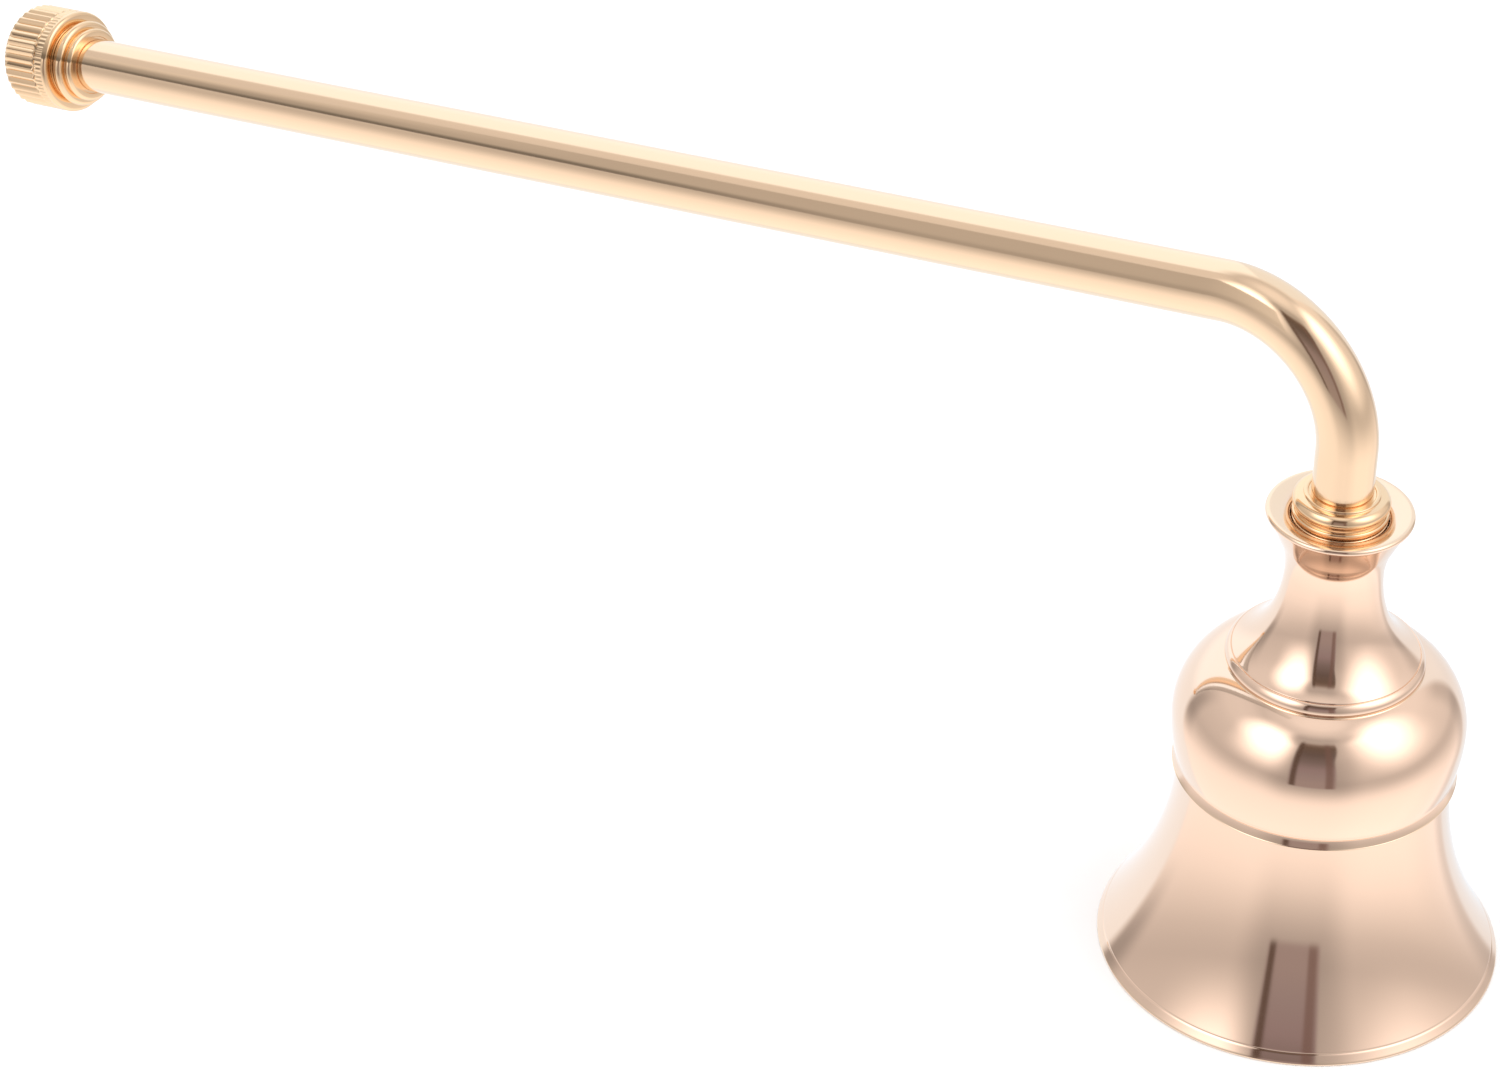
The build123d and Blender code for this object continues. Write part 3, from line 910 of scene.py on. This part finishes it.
def knob_section():
    """The knob's outline without ribs, with how deep the ribs cut at each point."""
    outline = [(knob_hole, knob_hole_depth, 0, 0), (knob_hole, 0.1, 0, 0), (knob_hole_mouth, 0.0, 0, 0)]
    face = knob_front - knob_hole_mouth
    outline += [(knob_hole_mouth + face * k / 8, 0.0, 0, 0) for k in range(1, 9)]
    for k in range(1, 8):
        turn = math.pi / 2 * k / 7
        rounded = knob_front + knob_shoulder * math.sin(turn)
        outline.append((rounded, knob_shoulder - knob_shoulder * math.cos(turn), 0, 0))
    outline += [(knob_radius, 0.52, 0, 0.0), (knob_radius, 0.6, 0, 0.6)]
    outline += [(knob_radius, fine_rib_start + fine_rib_length * k / 4, 0, 1.0) for k in range(5)]
    outline += [(knob_radius, 1.63, 0, 0.6), (knob_radius - 0.03, 1.7, 0, 0.0)]
    outline += [(knob_radius - knob_line_depth, 1.78, 0, 0), (knob_radius - knob_line_depth, 1.92, 0, 0)]
    outline += [(knob_radius - 0.12, 2.0, 0.4, 0), (knob_radius, 2.1, 0.8, 0)]
    outline += [(knob_radius, coarse_rib_start + coarse_rib_length * k / 12, 1, 0) for k in range(13)]
    outline += [(knob_radius - 0.05, 6.66, 0.9, 0), (knob_radius - 0.2, 6.84, 0.5, 0)]
    outline += [(knob_radius - 0.36, 6.96, 0, 0), (knob_radius - 0.5, 7.0, 0, 0)]
    outline += [(knob_end_flat * (1 - k / 10), knob_length, 0, 0) for k in range(1, 10)]
    return outline


def knob_sector():
    """One rib's share of the knob, from its hole round the outside to the middle of its end."""
    section = knob_section()
    turn = math.tau / rib_count
    vertices, faces = [], []
    for radius, height, coarse, fine in section:
        for step in range(sector_steps + 1):
            place = step / sector_steps
            ridge = abs(2 * place - 1)
            fine_ridge = abs(2 * (place * 2 % 1) - 1)
            cut = coarse * rib_depth * ridge**rib_sharpness + fine * fine_rib_depth * fine_ridge
            angle = turn * (place - 0.5)
            spot = ((radius - cut) * math.cos(angle), (radius - cut) * math.sin(angle), height)
            vertices.append([value * mm for value in spot])
    width = sector_steps + 1
    for row in range(len(section) - 1):
        for step in range(sector_steps):
            first = row * width + step
            faces.append((first, first + 1, first + 1 + width, first + width))
    middle, floor = len(vertices), len(vertices) + 1
    vertices += [(0, 0, knob_length * mm), (0, 0, knob_hole_depth * mm)]
    last = (len(section) - 1) * width
    for step in range(sector_steps):
        faces.append((last + step, last + step + 1, middle))
        faces.append((step + 1, step, floor))
    mesh = bpy.data.meshes.new("knob_sector")
    mesh.from_pydata(vertices, [], faces)
    sector = bpy.data.objects.new("knob_sector", mesh)
    bpy.context.collection.objects.link(sector)
    return sector


knob_tree, knob_given = geometry_board(
    "ribs_round_knob",
    [("Ribs", "NodeSocketInt"), ("Weld", "NodeSocketFloat"), ("Metal", "NodeSocketMaterial")],
)
rib_points = knob_tree.add("GeometryNodePoints", None, {"Count": knob_given["Ribs"]})
rib_number = knob_tree.add("GeometryNodeInputIndex")
rib_turn = rib_number * math.tau / knob_given["Ribs"]
rib_rotation = knob_tree.add("ShaderNodeCombineXYZ", None, {"Z": rib_turn})
rib_copies = knob_tree.add(
    "GeometryNodeInstanceOnPoints",
    None,
    {"Points": rib_points, "Instance": knob_given["Geometry"], "Rotation": rib_rotation},
)
rib_copies = knob_tree.add("GeometryNodeRealizeInstances", None, {0: rib_copies})
rib_copies = knob_tree.add(
    "GeometryNodeMergeByDistance", None, {"Geometry": rib_copies, "Distance": knob_given["Weld"]}
)
rib_copies = knob_tree.add(
    "GeometryNodeSetMaterial", None, {"Geometry": rib_copies, "Material": knob_given["Metal"]}
)
knob_out = knob_tree.tree.nodes.new("NodeGroupOutput")
knob_tree.feed(knob_out.inputs[0], rib_copies)

knob_values = {"Ribs": rib_count, "Weld": rib_weld, "Metal": knob_shine}
knob_mesh = smoothed(made_by(knob_tree, knob_sector(), knob_values), handle_place(knob_start))
knurled_knob = bpy.data.objects.new("knurled_knob", knob_mesh)
bpy.context.collection.objects.link(knurled_knob)
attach(knurled_knob, "knob_assembly")
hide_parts("knob")


# Floor
# A plain pale sheet that the snuffer stands on, on its rim. The polish doesn't mirror the sheet
# itself but the lower half of the light tent, so that the metal stays as clean as in a studio.

floor_reach = 3.0
paper_white = (0.81, 0.81, 0.81)
paper_grey = (0.79, 0.79, 0.79)
floor_mesh = bpy.data.meshes.new("studio_floor")
floor_corners = [(x * floor_reach, y * floor_reach, 0) for x, y in ((-1, -1), (1, -1), (1, 1), (-1, 1))]
floor_mesh.from_pydata(floor_corners, [], [(0, 1, 2, 3)])
studio_floor = bpy.data.objects.new("studio_floor", floor_mesh)
bpy.context.collection.objects.link(studio_floor)
studio_floor.visible_glossy = False
paper = Finish("pale_paper", Roughness=0.9)
paper_grain = paper.clouds(paper.object_place(), 3 * mm, 4.0)
paper.set(Metallic=0.0, Base_Color=paper.blend(paper_grain, paper_grey, paper_white))
floor_mesh.materials.append(paper.material)


# Light
# Pale walls light the snuffer, with two soft boxes in them and a dark slit between the boxes, and
# the back is open and bright. A wide panel overhead lights the floor, and a narrow glowing card
# hangs along the handle's front, seen only in reflections: a painted reflection that gives the tube
# a grey band with a dark lower edge.

front_azimuth = math.radians(-63.07)
degrees = 57.2958
box_tone = 2.4
wall_tint = (1.0, 0.965, 0.96)
back_tint = (0.96, 1.02, 1.08)
slit_left_edge = (0.11, 0.075, 0.06)
slit_right_edge = (0.20, 0.135, 0.125)
backdrop_white = (0.95, 0.95, 0.95, 1)
ahead_of = (math.cos(front_azimuth), math.sin(front_azimuth), 0)
beside = (-math.sin(front_azimuth), math.cos(front_azimuth), 0)
tent = bpy.data.worlds.new("light_tent")
tent.use_nodes = True
bpy.context.scene.world = tent
sky = Board(tent.node_tree)
for old in list(tent.node_tree.nodes):
    tent.node_tree.nodes.remove(old)
look = sky.add("ShaderNodeTexCoord", output="Generated")
dot = {"operation": "DOT_PRODUCT"}
ahead = sky.add("ShaderNodeVectorMath", dot, {0: look, 1: ahead_of}, "Value")
aside = sky.add("ShaderNodeVectorMath", dot, {0: look, 1: beside}, "Value")
side = sky.add("ShaderNodeMath", {"operation": "ARCTAN2"}, {0: aside, 1: ahead}) * degrees
up = sky.add("ShaderNodeSeparateXYZ", None, {0: look}, "Z")
rise = sky.add("ShaderNodeMath", {"operation": "ARCSINE"}, {0: up}) * degrees
away = sky.add("ShaderNodeMath", {"operation": "ABSOLUTE"}, {0: side})

wall_heights = [
    (-90, 1.3), (-60, 1.3), (-45, 1.24), (-35, 1.18), (-30, 1.14), (-25, 1.07), (-20, 0.96),
    (-15, 0.85), (-10, 0.74), (-5, 0.67), (-1, 0.64), (4, 0.67), (10, 0.70), (20, 0.73), (30, 0.77),
    (40, 0.84), (50, 0.86), (57, 0.83), (64, 0.72), (70, 0.80), (75, 0.88), (80, 1.0), (86, 1.04),
]
wall_stops = [((height + 90) / 180, (value, value, value)) for height, value in wall_heights]
wall = sky.add("ShaderNodeValToRGB", {"stops": wall_stops}, {0: (rise + 90) / 180})
wall = sky.add("ShaderNodeSeparateColor", None, {0: wall}, "Red")
shade_by_slit = (1 - sky.rise(away, 17, 42)) * (1 - sky.rise(rise, 62, 74)) * sky.rise(rise, -45, 0)
wall = wall * (1 - 0.3 * shade_by_slit)
wall = wall + 0.08 * sky.rise(side, 10, 60) * (1 - sky.rise(side, 85, 115)) * (1 - sky.rise(rise, -25, -8))
wall = wall + 0.15 * sky.rise(side, 40, 80) * sky.rise(rise, -8, 6) * (1 - sky.rise(rise, 56, 70))
left_seam = sky.rise(side, -122, -114) * (1 - sky.rise(side, -112, -100)) * (1 - sky.rise(rise, 8, 40))
left_seam = left_seam * sky.rise(rise, -28, -4)
right_seam = sky.rise(side, 124, 138) * (1 - sky.rise(rise, 18, 36))
wall = wall * (1 - 0.36 * left_seam - 0.25 * right_seam)
behind = (sky.rise(side, 139, 146) + 1 - sky.rise(side, -122, -115)) * (1 - sky.rise(rise, 48, 66))
back_left = 1 - sky.rise(side, -122, -115)
back_tone = 1.0 + 0.1 * back_left + (0.06 + 0.12 * back_left) * sky.rise(rise, -4, 14)
wall = wall + (back_tone - wall) * behind
left_box = sky.rise(side + 10 * sky.rise(rise, 25, 50), -80, -44)
left_box = left_box * (1 - sky.rise(side + 9 * sky.rise(rise, 48, 62), -38, -14))
left_box = left_box * sky.rise(rise, -2, 47) * (1 - sky.rise(rise, 52, 72))
right_box = sky.rise(side - 14 * sky.rise(rise, 55, 68), 27, 72)
right_box = right_box * (1 - sky.rise(side - 16 * sky.rise(rise, 30, 66), 70, 118))
right_box = right_box * sky.rise(rise, -4, 50) * (1 - sky.rise(rise, 57, 76))
glow = wall + (box_tone - wall) * left_box
glow = glow + (box_tone - glow) * right_box
tint = sky.blend(behind, wall_tint, back_tint)
tent_light = sky.add("ShaderNodeBackground", None, {"Color": tint, "Strength": glow})

slit_heights = [
    (0, (0.38, 0.33, 0.34)), (10, (0.345, 0.30, 0.32)), (20, (0.32, 0.265, 0.29)),
    (30, (0.22, 0.185, 0.19)), (42, (0.15, 0.12, 0.115)), (52, (0.16, 0.12, 0.10)),
    (56, (0.24, 0.19, 0.17)), (60, (0.42, 0.38, 0.36)),
]
slit_stops = [(height / 90, colour) for height, colour in slit_heights]
slit = sky.add("ShaderNodeValToRGB", {"stops": slit_stops}, {0: rise / 90})
left_edge = sky.rise(side, -17, -15.5) * (1 - sky.rise(side, -13.5, -10.5))
right_edge = sky.rise(side, 8.5, 11) * (1 - sky.rise(side, 14, 17))
slit = sky.blend(left_edge * 0.9, slit, slit_left_edge)
slit = sky.blend(right_edge * 0.75, slit, slit_right_edge)
slit_light = sky.add("ShaderNodeBackground", None, {"Color": slit, "Strength": 1.0})
slit_spread = 5 * sky.rise(rise, 30, 55)
in_slit = sky.rise(side, -18.5, -16) * (1 - sky.rise(side - slit_spread, 16, 18.5))
in_slit = in_slit * sky.rise(rise, -9, -6) * (1 - sky.rise(rise, 55, 62))
studio = sky.add("ShaderNodeMixShader", None, {0: in_slit, 1: tent_light, 2: slit_light})
seen = sky.add("ShaderNodeLightPath", output="Is Camera Ray")
plain_white = sky.add("ShaderNodeBackground", None, {"Color": backdrop_white, "Strength": 1.0})
studio = sky.add("ShaderNodeMixShader", None, {0: seen, 1: studio, 2: plain_white})
tent_out = tent.node_tree.nodes.new("ShaderNodeOutputWorld")
sky.feed(tent_out.inputs["Surface"], studio)

panel_size = 2.4
panel_tone = 0.9
panel_spot = (-0.08, 0, 1.2)
panel = bpy.data.lights.new("overhead_panel", "AREA")
panel.shape = "SQUARE"
panel.size = panel_size
panel.energy = panel_tone * math.pi * panel_size**2
overhead_panel = bpy.data.objects.new("overhead_panel", panel)
bpy.context.collection.objects.link(overhead_panel)
overhead_panel.location = panel_spot
overhead_panel.visible_camera = False
overhead_panel.visible_glossy = False

flag_length = 186.2
flag_steps = 12
flag_edges = [
    ((-6.8, -14.2, 77.6), (-7.9, -12.4, 87.6)),
    ((-18.4, -10.9, 76.6), (-19.8, -5.7, 84.7)),
    ((-34.4, -10.7, 73.9), (-35.8, -5.5, 81.9)),
    ((-64.4, -10.4, 69.1), (-65.7, -5.5, 76.3)),
    ((-104.5, -9.8, 63.2), (-105.5, -5.4, 69.0)),
    ((-144.4, -9.3, 56.8), (-145.2, -5.4, 61.5)),
    ((-169.3, -8.9, 52.9), (-170.0, -5.1, 57.1)),
    ((-186.2, -8.6, 50.2), (-186.9, -4.8, 54.1)),
]
flag_spots, flag_reach, flag_height = [], [], []
for low, high in flag_edges:
    for row in range(flag_steps + 1):
        height = row / flag_steps
        flag_spots.append(Vector(low).lerp(Vector(high), height) * mm)
        flag_reach.append(-low[0] / flag_length)
        flag_height.append(height)
flag_faces = []
for column in range(len(flag_edges) - 1):
    for row in range(flag_steps):
        first = column * (flag_steps + 1) + row
        flag_faces.append((first, first + 1, first + flag_steps + 2, first + flag_steps + 1))
flag_mesh = bpy.data.meshes.new("handle_reflection_card")
flag_mesh.from_pydata(flag_spots, [], flag_faces)
for label, values in (("reach", flag_reach), ("height", flag_height)):
    flag_mesh.attributes.new(label, "FLOAT", "POINT").data.foreach_set("value", values)
handle_reflection_card = bpy.data.objects.new("handle_reflection_card", flag_mesh)
bpy.context.collection.objects.link(handle_reflection_card)
# The card is no cloth lit by the lamps: it glows with painted tones, a dark lower edge and a brighter far
# end, so that the tube shows them as a painted reflection.
grey_cloth = Finish("grey_cloth", Roughness=1.0)
card_reach = grey_cloth.add("ShaderNodeAttribute", {"attribute_name": "reach"}, None, "Fac")
card_height = grey_cloth.add("ShaderNodeAttribute", {"attribute_name": "height"}, None, "Fac")
reflected_band_tone = 0.56 - 0.12 * grey_cloth.rise(card_reach, 0.55, 0.85)
far_reflected_glow = 0.4 * grey_cloth.rise(card_reach, 0.5, 0.9) * grey_cloth.rise(card_height, 0.4, 1.0)
reflected_band_tone = reflected_band_tone + far_reflected_glow
reflected_dark_edge_tone = 0.46 - 0.26 * grey_cloth.rise(card_reach, 0.25, 0.6)
reflected_band_tone = reflected_dark_edge_tone + (reflected_band_tone - reflected_dark_edge_tone) * grey_cloth.rise(card_height, 0.14, 0.4)
reflected_band_tone = reflected_band_tone + 0.25 * (1 - grey_cloth.rise(card_reach, 0.03, 0.12))
reflected_band_glow = {"Color": (1.0, 0.96, 0.93, 1), "Strength": reflected_band_tone}
reflected_band_light = grey_cloth.add("ShaderNodeEmission", None, reflected_band_glow)
grey_cloth.feed(grey_cloth.tree.nodes["Material Output"].inputs["Surface"], reflected_band_light)
flag_mesh.materials.append(grey_cloth.material)
# Only glossy rays see the card, so it appears nowhere but as the painted reflection in the metal.
for ray in ("camera", "diffuse", "transmission", "volume_scatter", "shadow"):
    setattr(handle_reflection_card, "visible_" + ray, False)

bpy.context.scene.view_settings.view_transform = "Standard"


# Camera
# Stands where the photograph was taken from, looking down at the snuffer past the knob's side.

camera_spot = Vector((174.566, -343.848, 318.813)) * mm
camera_right = Vector((0.805607, 0.592317, 0.012554))
camera_forward = Vector((-0.479114, 0.663813, -0.574283))
camera_up = camera_right.cross(camera_forward)
film_width = 36.0
focal_length_pixels = 4576.88
photograph_width = 1500
nearest_seen = 0.01
farthest_seen = 20.0
camera_data = bpy.data.cameras.new("camera")
camera_data.sensor_width = film_width
camera_data.lens = film_width * focal_length_pixels / photograph_width
camera_data.clip_start = nearest_seen
camera_data.clip_end = farthest_seen
camera = bpy.data.objects.new("camera", camera_data)
bpy.context.collection.objects.link(camera)
facing = Matrix((camera_right, camera_up, -camera_forward)).transposed().to_4x4()
camera.matrix_world = Matrix.Translation(camera_spot) @ facing
bpy.context.scene.camera = camera
